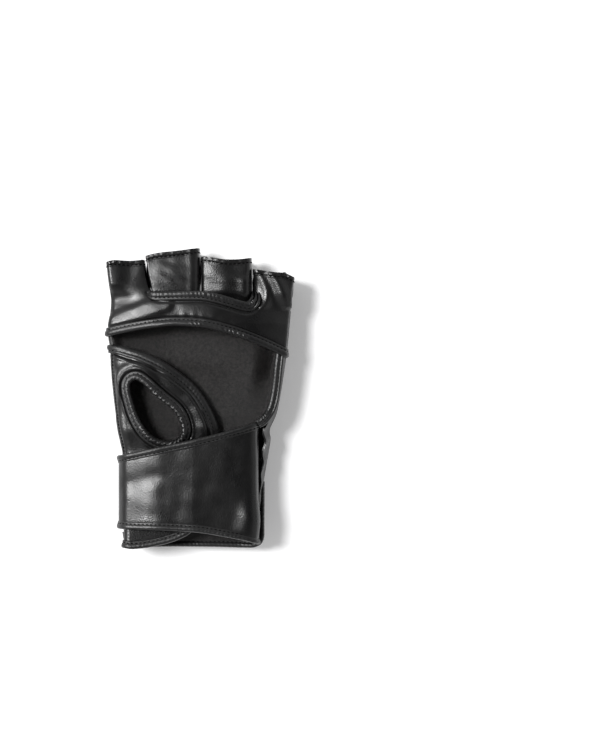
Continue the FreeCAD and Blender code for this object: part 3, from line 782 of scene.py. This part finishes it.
def outwards(line):
    """The outward unit normals in plan of a closed line."""
    run = unit(steps_along(line, closed=True, reach=3))
    out = np.column_stack([run[:, 1], -run[:, 0]])
    heart = line.mean(0)
    return -out if ((line + out - heart) ** 2).sum() < ((line - heart) ** 2).sum() else out


def eased(line):
    """A closed line with its corners softened."""
    for _ in range(6):
        line = (np.roll(line, 1, axis=0) + 2 * line + np.roll(line, -1, axis=0)) / 4
    return line


def hole_line(outside):
    """The thumb hole's outline in plan, grown outwards by outside."""
    line = through(HOLE, 360, closed=True)
    return eased(line + outwards(line) * outside)


def panel_outline(inner, edge):
    """For each point of the inner line, the panel's outer point in the same direction from the hole's
    middle."""
    bottom = np.column_stack([np.linspace(edge[-1][0], LEFT(-46.0) + 0.1, 60), np.full(60, -46.0)])
    y = np.linspace(-46.0, edge[0][1], 160)
    side = np.column_stack([LEFT(y) + 0.1, y])
    ring = spaced(np.vstack([edge, bottom[1:], side[1:-1]]), 1400, closed=True)
    heart = inner.mean(0)
    angle, want = (np.mod(np.arctan2(*(line - heart).T[::-1]), math.tau) for line in (ring, inner))
    order = np.argsort(angle)
    angle, ring = angle[order], ring[order]
    angle = np.concatenate([angle - math.tau, angle, angle + math.tau])
    return np.column_stack([np.interp(want, angle, np.tile(column, 3)) for column in ring.T])


def make_thumb_panel():
    inner = hole_line(HOLE_BAND * 0.45)
    edge = catmull((np.array(THUMB_SEAM) + THUMB_EDGE) / 2)
    t = np.sin(np.linspace(0, math.pi / 2, 46))[None, :, None]
    plan = mix(inner[:, None, :], panel_outline(inner, edge)[:, None, :], t)
    x, y = plan[..., 0], plan[..., 1]
    u = THUMB.share(x, y)
    rim = hole_line(HOLE_BAND)
    from_hole = near(x, y, np.vstack([rim[::6], rim[:1]]))
    welt = near(x, y, [(a - 2.0, b - 2.4) for a, b in THUMB_SEAM])
    seam = near(x, y, [(a - 0.3, b - 0.4) for a, b in THUMB_SEAM])
    seam = np.minimum(seam, np.abs(x - LEFT(y) - 1.7) * 0.8)
    corner = smooth((-28 - x) / 14) * smooth((y + 6) / 14) * smooth((x - LEFT(y) - 2.4) / 3.0)
    rise = 0.5 * bump(from_hole - 1.9, 0.7) + 0.4 * bump(welt, 0.7) - 0.7 * bump(seam, 0.8)
    rise = rise + 1.3 * smooth((x + 34) / 12) * bump(from_hole - 9.5, 4.5)
    rise = rise - 0.6 * bump(from_hole - 0.3, 0.8) + 1.9 * corner * bump(from_hole - 4.2, 3.6)
    rise = rise + 0.5 * wander(x, y, 24.0, 33) + 0.12 * wander(x, y, 8.0, 34)
    grid = THUMB.plain(u, y) + THUMB.normal(u, y) * rise[..., None]
    settle(thick_sheet("thumb_panel_leather", grid, 1.2, LEATHER, close_rows=True), "leather", "hand",
           "thumb_panel")

    p, n = THUMB.over(spaced(edge, 420))
    t = np.linspace(0, 1, 420)
    binding("thumb_panel", p + n * 0.5, n, 7.6 - 1.4 * smooth((0.12 - t) / 0.12), 2.0, "hand",
            ["thumb_panel_binding"], 0.10 + 0.3 * bump(t - 0.55, 0.12), pitch=3.2, slant=1.3, seed=7)

    path = hole_line(HOLE_BAND * 0.5)
    p, n = THUMB.over(path)
    strong = smooth((path[:, 0] + 40) / 12) + smooth((-16 - path[:, 1]) / 8)
    gathers = np.clip(0.3 + 0.9 * strong, 0, 1.0) * (0.9 + 0.4 * np.sin(np.arange(len(path)) * 0.11))
    binding("thumb_hole", p + n * 0.5, n, HOLE_BAND + 0.6, 2.6, "hand", ["thumb_hole_binding"], gathers,
            side=-1, closed=True, pitch=4.1, slant=1.9, seed=9)

    y = np.linspace(33.0, -42.0, 200)
    p, n = THUMB.over(np.column_stack([LEFT(y) + 1.7, y]))
    stitches("thumb_side_stitches", p + n * 0.05, n, "hand", pitch=2.4, length=1.7, radius=0.32)

    # the side strip that shows between the thumb panel and the palm band
    y, up = np.meshgrid(np.linspace(29.0, 50.0, 40), np.linspace(0, 1, 20), indexing="ij")
    x = LEFT(y) + 1.3 + 2.6 * up ** 3 + 0.12 * wander(y, 9 * up, 6.0, 35)
    settle(thick_sheet("thumb_side_strip", points_of(x, y, WELT + 6.0 * up), 0.9, LEATHER), "leather", "hand")


# ---- wrist strap and its free end

# the strap's line across the wrist, from the little-finger side over the top, down the thumb side and
# back under the cuff: x and z
STRAP_LINE = [(41.0, 16.6), (41.5, 23.0), (41.2, 29.6), (38.8, 33.8), (33.0, 35.8), (20.0, 36.8),
              (4.0, 37.6), (-4.0, 38.0), (-8.0, 37.9), (-16.0, 37.4), (-24.0, 37.1), (-32.0, 36.7),
              (-40.0, 35.2), (-48.0, 32.8), (-54.0, 30.9), (-57.6, 27.4), (-59.4, 22.8), (-60.0, 12.0),
              (-59.6, 5.6), (-57.6, 2.4), (-53.0, 1.3), (-42.0, 1.25), (-25.0, 1.25), (-5.0, 1.25)]
STRAP_TOP = graph((-62, -41.6), (-44, -37.6), (-15, -31.4), (7, -26.4), (28, -20.6), (42.5, -16.2))
STRAP_LOW = graph((-62, -93.8), (-44, -94.2), (-20, -94.8), (0, -96.2), (20, -99.6), (34, -102.4),
                  (42.5, -105.2))
TAIL_TIP = 24.0
STRAP_EDGE = 5.6                # width of the strap's bindings


def strap_line(inset):
    """The strap's line to the tip of its free end, the outward directions along it, and the strap's two
    edges, in y, set in from its outline."""
    line = through(STRAP_LINE + [(TAIL_TIP - inset, 1.25)], 420)
    run = unit(steps_along(line))
    out = points_of(run[:, 1], 0.0, -run[:, 0])
    x, z = line.T
    under = smooth((8.0 - z) / 6.0)
    high = mix(STRAP_TOP(x), -46.0, under)
    low = mix(STRAP_LOW(x), -94.0, under)
    tip = np.where(z < 4.0, np.clip((x - (TAIL_TIP - 20.0)) / (20.0 - inset), 0, 1), 0.0)
    middle, half = (high + low) / 2, (high - low) / 2 - inset
    half = half * np.sqrt(np.maximum(1 - tip ** 2.6, 0.0))
    return line, out * np.sign(out[0, 0]), middle + half, middle - half


def make_strap():
    line, out, high, low = strap_line(STRAP_EDGE * 0.4)
    high, low = high[:, None], low[:, None]
    y = mix(low, high, np.linspace(0, 1, 90)[None, :])
    x, z = (line[:, k:k + 1] + 0 * y for k in (0, 1))
    dents = 0.25 * wander(x, 1.6 * y, 34.0, 41) + 0.12 * wander(x, y, 12.0, 42)
    crease = -0.8 * bump(near(x, y, [(-60.0, -62.0), (-47.0, -60.0), (-34.0, -57.0)]), 6.0)
    dimple = 2.7 * bump(np.hypot((x - 36.5) / 1.1, (y + 86) / 1.5), 8.5)
    edge_dip = -0.35 * smooth((high - low) / 16.0) * (bump(y - low, 2.5) + bump(high - y, 2.5))
    move = smooth((z - 24.0) / 8.0) * (dents + crease + dimple) + edge_dip
    outer = points_of(x, y, z) + out[:, None] * move[..., None]
    piece = closed_sheet("strap_leather_front", outer, outer - out[:, None] * 1.2, LEATHER, flip=True)
    settle(piece, "leather", STRAP_FOLD, "strap_leather", "strap_backing", "tail_leather", "tail_backing")

    line, out, high, low = strap_line(STRAP_EDGE / 2)
    upper, lower = (points_of(line[:, 0], y, line[:, 1]) for y in (high, low))
    both = spaced(np.hstack([np.vstack([upper, lower[::-1]]), np.vstack([out, out[::-1]])]), 900)
    path, n = both[:, :3], unit(both[:, 3:])
    for k in range(3):
        path[:, k] = np.convolve(np.pad(path[:, k], 4, mode="edge"), np.ones(9) / 9, mode="valid")
    path = path - n * 0.55
    gathers = 0.10 + 0.35 * bump(np.linspace(0, 1, 900) - 0.93, 0.05) * (path[:, 2] > 20)
    nodes = ["strap_top_binding", "strap_lower_binding", "tail_binding"]
    binding("strap", path, n, STRAP_EDGE, 1.9, STRAP_FOLD, nodes, gathers, side=-1, slant=1.5, seed=12)


# ---- inner flap and cuff

FLAP_LEFT = graph((-112, -55.9), (-40, -56.2))
FLAP_EDGE = [(-55.6, -107.4), (-50.0, -108.2), (-44.0, -107.8), (-36.7, -106.8), (-29.5, -105.3),
             (-22.3, -103.4), (-15.1, -100.6), (-9.0, -97.0), (-5.0, -91.0), (-4.4, -80.0)]


def flap_crown(x, y):
    return 30.2 - 0.0010 * (x + 14) ** 2 + 0.4 * wander(x, y, 30.0, 51)


FLAP = Skin(FLAP_LEFT, steady(10.0), flap_crown, steady(WELT), steady(5.0), steady(1e-3),
            hold_right=steady(0.0))


def make_flap():
    edge = graph(*FLAP_EDGE[:9])
    lower = lambda x: edge(np.clip(x, -55.6, -6.0)) + 2.4
    grid = FLAP.at(*FLAP.strip(120, lower, steady(-47.0), 60, stop=float(FLAP.share(-6.0, -60.0))))
    settle(thick_sheet("inner_flap_leather", grid, 1.6, LEATHER), "leather", "hand", "inner_flap")
    path = through([(x, y + 2.8) for x, y in FLAP_EDGE[:-1]] + [(-6.8, -80.0)], 260)
    binding("inner_flap", *FLAP.over(path), 5.8, 1.9, "hand", ["inner_flap_binding"], 0.12, side=-1, seed=14)


def make_pinky_side():
    """The side wall from the cuff to the palm band, and the bound edge of the palm opening."""
    y = np.concatenate([np.linspace(-105.5, -26, 150), np.linspace(-25.5, 38, 130)])[:, None]
    top = graph((-106, 20.0), (-60, 24.0), (-30, 27.0), (-10, 27.0), (38, 27.5))(y)
    inset = graph((-106, 1.2), (-60, 1.8), (-30, 3.2), (-10, 3.2), (15, 2.6), (38, 3.0))(y)
    t = np.linspace(0, 1, 26)[None, :]
    z = mix(WELT, top, t)
    slack = 0.7 * np.sin(0.42 * y + 2.6 * t) * bump(y + 40, 30) * np.sin(t * math.pi / 2)
    x = RIGHT(y) - 0.1 - inset * t ** 2.2 + slack + 0.25 * wander(y, z * 2, 22.0, 61)
    settle(thick_sheet("pinky_side_leather", points_of(x, y, z), 1.5, LEATHER), "leather", "hand",
           "pinky_side_panel")

    path = through([(57.6, 33.0), (56.4, 22.0), (55.4, 12.0), (54.0, 2.0), (52.4, -5.0), (49.6, -11.0),
                    (45.6, -15.8), (41.6, -18.2)], 240)
    t = np.linspace(0, 1, 240)
    height = mix(28.0, 31.5, smooth((t - 0.75) / 0.25)) + 0.4 * np.sin(9 * t)
    p = np.column_stack([path - [0.5, 0.0], height])
    n = np.tile(np.array([-0.25, 0.0, 1.0]) / np.hypot(0.25, 1), (240, 1))
    binding("pinky_side", p, n, 6.6, 3.0, "hand", ["pinky_side_binding"], 0.08 + 0.9 * bump(t - 0.9, 0.05),
            side=-1, pitch=2.8, seed=16)


def make_cuff_edge():
    path = through([(43.0, -60.0), (42.8, -90.0), (42.4, -101.0), (38.6, -104.8), (30.0, -105.2),
                    (8.0, -104.6), (-20.0, -104.4), (-46.0, -104.8), (-52.6, -103.0), (-54.6, -96.0)], 420)
    p = np.column_stack([path, 14.6 + 1.6 * bump(path[:, 0] - 40, 8.0)])
    n = np.tile([0.0, 0.0, 1.0], (420, 1))
    binding("cuff_back", p, n, 5.6, 2.4, "hand", ["cuff_back_binding"], 0.18, seed=18)


# ---- lining

def make_lining():
    """The satin of the back, seen through the palm opening and the thumb hole."""
    y = np.linspace(-103, 71, 150)[:, None]
    right = np.interp(y, [-103, -60, -30, -20, 0, 35, 60, 71], [39, 41, 45, 46, 52, 58, 60, 60])
    left = LEFT(y) + 3.0
    x = mix(left, right, np.linspace(0, 1, 110)[None, :])
    climb = 3.0 * smooth((5.0 - right + x) / 5.0) ** 1.3 + 4.0 * smooth((9.0 - x + left) / 9.0) ** 1.3
    dome = np.maximum(10.0 - 0.0029 * (x - 34) ** 2, 0) * smooth((right - x) / 22)
    dome = dome * smooth((y + 16) / 46) * (1 - 0.6 * smooth((y - 20) / 36))
    lean = 0.12 * np.clip(42 - x, 0, None) * smooth((x + 20) / 16) * smooth((20 - y) / 28)
    slack = 1.2 * wander(x, y, 52.0, 71) + 0.4 * wander(x, y, 22.0, 72)
    z = 16.8 + climb * smooth((y + 96) / 30) + dome + lean * smooth((y + 64) / 34)
    z = z + np.maximum(slack, -0.8) * smooth((y + 103) / 8.0)
    piece = thick_sheet("palm_lining_satin", points_of(x, y, z), 0.6, SATIN)
    settle(piece, "lining", "hand", "back_lining")


# ---- padded back

def rounded(corners, radius, count=360):
    """A closed polygon with rounded corners, evenly spaced."""
    line = []
    corners = np.array(corners, float)
    for before, corner, after in zip(np.roll(corners, 1, axis=0), corners, np.roll(corners, -1, axis=0)):
        to_a, to_b = unit(before - corner), unit(after - corner)
        half = math.acos(np.clip(to_a @ to_b, -1, 1)) / 2
        if half > 1.45:
            line.append(corner)
            continue
        reach = radius / math.tan(half)
        start, end = corner + to_a * reach, corner + to_b * reach
        t = np.linspace(0, 1, 12)[:, None]
        line += list((1 - t) ** 2 * start + 2 * t * (1 - t) * corner + t**2 * end)
    return eased(spaced(np.array(line), count, closed=True))


# of each kind of pad: bottom, top, how far it swells out, and how far it rounds under
HAND_PAD, CUFF_PAD, FINGER_PAD = (0.0, WELT, 0.5, 5.5), (4.9, WELT, 0.4, 3.4), (0.0, 12.4, 0.2, 5.0)


def pad_piece(name, line, form, channels, body, *nodes):
    """A sewn pad: its side hangs from the seam at the top, swells, and rounds under to a face that
    is sewn down in channels."""
    bottom, top, swell, under = form
    out, heart, count = outwards(line), line.mean(0), len(line)
    s = np.arange(count) * lengths(line)[-1] / count
    deep = top - bottom - under
    pucker = np.sin(s * 1.25 + 1.4 * np.sin(s * 0.21)) * (0.6 + 0.4 * np.sin(s * 0.083))
    rings = []
    for depth in np.concatenate([[0.0, 0.35, 0.9], np.linspace(1.6, deep, 9)]):
        offset = -1.7 + (1.7 + swell) * math.sin(math.pi / 2 * min(1.0, depth / deep * 1.6 + 0.12)) ** 0.6
        offset = offset + 0.22 * pucker * math.exp(-((depth - 2.2) / 2.0) ** 2)
        rings.append(np.column_stack([line + out * offset[:, None], np.full(count, top - depth)]))
    for turn in np.linspace(0, math.pi / 2, 9)[1:]:
        last = line + out * (swell - under * (1 - math.cos(turn)))
        rings.append(np.column_stack([last, np.full(count, bottom + under * (1 - math.sin(turn)))]))
    for t in np.linspace(0, 0.985, 44)[1:]:
        rings.append(np.column_stack([mix(last, heart, t), np.full(count, bottom)]))
    grid = np.stack(rings, axis=1)
    x, y, z = np.moveaxis(grid, -1, 0)
    groove = np.zeros_like(x)
    for channel in channels:
        away = near(x, y, channel)
        groove = np.maximum(groove, 0.75 * np.exp(-away / 4.5) + 0.45 * bump(away, 1.2))
    crumple = 0.25 + 0.22 * wander(x, y, 13.0, 55)
    grid[..., 2] = z + smooth((bottom + under - z) / under) * (3.1 * groove + crumple)
    piece = lidded(name, grid, BACK, flat=1)
    settle(piece, "leather", body, *nodes)


def make_back():
    front = [(-50.0, 72.4), (-18.0, 74.4), (12.0, 72.6), (40.0, 67.2)]
    knuckle = rounded(sides(LEFT, 25.2, 70.4) + front + sides(RIGHT, 61.4, 25.2), 7.0)
    lines = [[(x, 22.0), (x + 0.4, 50.0), (x, 78.0)] for x in (-38.0, -4.0, 31.0)]
    pad_piece("knuckle_pad", knuckle, HAND_PAD, lines, "hand", "knuckle_pad_cover", "knuckle_pad_foam")
    hand = rounded(sides(LEFT, -38.8, 24.2) + sides(RIGHT, 24.2, -38.8), 7.0)
    lines = [[(-20, -42), (-16, -8), (-22, 28)], [(16, -42), (18, -8), (24, 28)]]
    pad_piece("hand_back_pad", hand, HAND_PAD, lines, "hand", "hand_back_cover", "hand_back_foam")
    cuff = rounded([(-55.4, -41.0), (-55.2, -102.4), (42.6, -102.4), (45.6, -41.0)], 6.0)
    pad_piece("cuff_back_pad", cuff, CUFF_PAD, [], "hand", "cuff_back_cover", "cuff_back_foam")
    for name, f in FINGERS.items():
        left, right, rear = f["pad"]
        tip_left, tip_right = (float(f["tip"](x)) - 1.6 for x in (left, right))
        near_side = sides(LEFT, rear, tip_left) if name == "index" else [(left, rear), (left, tip_left)]
        far_side = sides(RIGHT, tip_right, rear) if name == "pinky" else [(right, tip_right), (right, rear)]
        pad_piece(f"{name}_back_pad", rounded(near_side + far_side, 5.5, 200), FINGER_PAD, [],
                  f"{name}_finger", f"{name}_pad_cover", f"{name}_pad_foam")
    welts = (("left", LEFT, 0.9, 71.0, -41.0), ("right", RIGHT, -0.9, 63.0, -104.0))
    for side, edge, shift, front, rear in welts:
        y = np.linspace(front, rear, 320)
        cord(f"welt_{side}", points_of(edge(y) + shift, y, WELT - 0.2), 0.95, "hand")


def sides(edge, y0, y1):
    """Points of a pad's outline just inside one side of the glove."""
    inward = 1.1 if edge is LEFT else -1.1
    return [(float(edge(y)) + inward, float(y)) for y in np.linspace(y0, y1, 5)]


def make_finger_linings():
    for name, f in FINGERS.items():
        rear = f["lining"]
        y = np.linspace(rear, 110.0, 60)[:, None]
        a = np.maximum(f["left"](y), f["left"](y + 3)) + 1.5
        b = f["right"](y) - 1.7
        x = mix(a, b, np.linspace(0, 1, 40)[None, :])
        end = f["tip"](x) - 1.4
        y = mix(rear, end, np.linspace(0, 1, 60)[:, None])
        rim = np.minimum(x - a, b - x)
        z = 12.8 + 4.5 * smooth((3.0 - rim) / 3.0) + 0.4 * wander(x, y, 14.0, 81)
        piece = thick_sheet(f"{name}_lining_satin", points_of(x, y, z), 0.5, SATIN)
        settle(piece, "lining", bend(name), f"{name}_lining")


def patch(name, x0, x1, y0, y1, bottom, top, material, slot, body, node):
    """A flat patch of tape with rounded corners."""
    x, y = (x0 + x1) / 2, (y0 + y1) / 2
    corners = [(x0 + 3, y0), (x, y0), (x1 - 3, y0), (x1 - 0.6, y0 + 0.6), (x1, y0 + 3), (x1, y),
               (x1, y1 - 3), (x1 - 0.6, y1 - 0.6), (x1 - 3, y1), (x, y1), (x0 + 3, y1),
               (x0 + 0.6, y1 - 0.6), (x0, y1 - 3), (x0, y), (x0, y0 + 3), (x0 + 0.6, y0 + 0.6)]
    line = through(corners, 160, closed=True)
    rings = [(0.0, bottom), (0.0, top - 0.3), (0.012, top)]
    rings += [(0.012 + k / 11 * 0.985 * 0.98, top) for k in range(1, 12)]
    grid = [np.column_stack([mix(line, line.mean(0), shrink), np.full(160, z)]) for shrink, z in rings]
    settle(lidded(name, np.stack(grid, axis=1), material), slot, body, node)


def make_patches():
    """Hook tape on the strap's free end, loop pile on the back of the cuff."""
    patch("hook_tape", -32, 8, -87.5, -52.5, 2.2, 3.4, HOOK, "hook", "strap_tail", "hook_patch")
    patch("loop_pile", -40, 36, -94, -49, 3.7, 4.9, LOOP, "loop", "hand", "loop_patch")


# ---- stage, light and camera

def make_stage():
    bpy.ops.mesh.primitive_plane_add(size=8.0, location=(0, 0, -0.0002))
    floor = bpy.context.object
    floor.name = "floor"
    material, tree, shader = new_material("floor_white")
    plug(tree, shader, {"Base Color": (0.93, 0.93, 0.935, 1), "Roughness": 0.9, "Specular IOR Level": 0.1,
                        "Emission Color": (1, 1, 1, 1), "Emission Strength": 0.2})
    floor.data.materials.append(material)


KEY_SIDE = (-0.54, 0.18, 0.82)      # direction towards the main light
KEY_POWER, KEY_WIDTH = 3.4, 0.34


def make_light():
    """One soft light from the upper left, in a studio that is dark above and bright low down."""
    data = bpy.data.lights.new("key_left", "SUN")
    data.energy, data.angle = KEY_POWER, KEY_WIDTH
    key = add_object("key_left", data)
    key.location = Vector(KEY_SIDE) * 1.7
    key.rotation_mode = "QUATERNION"
    key.rotation_quaternion = Vector(KEY_SIDE).to_track_quat("Z", "Y")

    world = bpy.data.worlds.new("studio")
    world.use_nodes = True
    tree = world.node_tree
    coords = tree.nodes.new("ShaderNodeTexCoord").outputs["Generated"]
    height = add_node(tree, "SeparateXYZ", {"Vector": coords}).outputs["Z"]
    greys = ((0.0, 0.50), (0.30, 0.60), (0.62, 0.55), (0.86, 0.07), (1.0, 0.03))
    shade = ramp(tree, height, *((place, (grey,) * 3) for place, grey in greys))
    toward = add_node(tree, "VectorMath", {0: coords, 1: (-0.66, 0.20, 0.72)}, operation="DOT_PRODUCT")
    lobe = remap(tree, toward.outputs["Value"], 0.82, 0.98, 0.0, 0.6)
    total = add_node(tree, "Mix", {0: 1.0, 6: shade, 7: lobe}, data_type="RGBA", blend_type="ADD")
    plug(tree, tree.nodes["Background"], {"Color": total.outputs[2], "Strength": 1.0})
    bpy.context.scene.world = world
    bpy.context.scene.view_settings.view_transform = "Standard"


def make_camera():
    """Straight above, framed so that the glove lies left of the middle, with room for its pair."""
    lens, long_side = 150.0, 0.540
    data = bpy.data.cameras.new("camera")
    data.lens, data.sensor_width = lens, 36.0
    camera = add_object("camera", data)
    camera.location = (0.0713, 0.0169, 0.025 + long_side * lens / 36.0)
    bpy.context.scene.camera = camera


make_camera()
make_light()
make_stage()
make_back()
make_patches()
make_lining()
make_finger_linings()
for finger in FINGERS:
    make_finger(finger)
make_band()
make_crotch_binding()
make_tucks()
make_thumb_panel()
make_pinky_side()
make_cuff_edge()
make_flap()
make_strap()
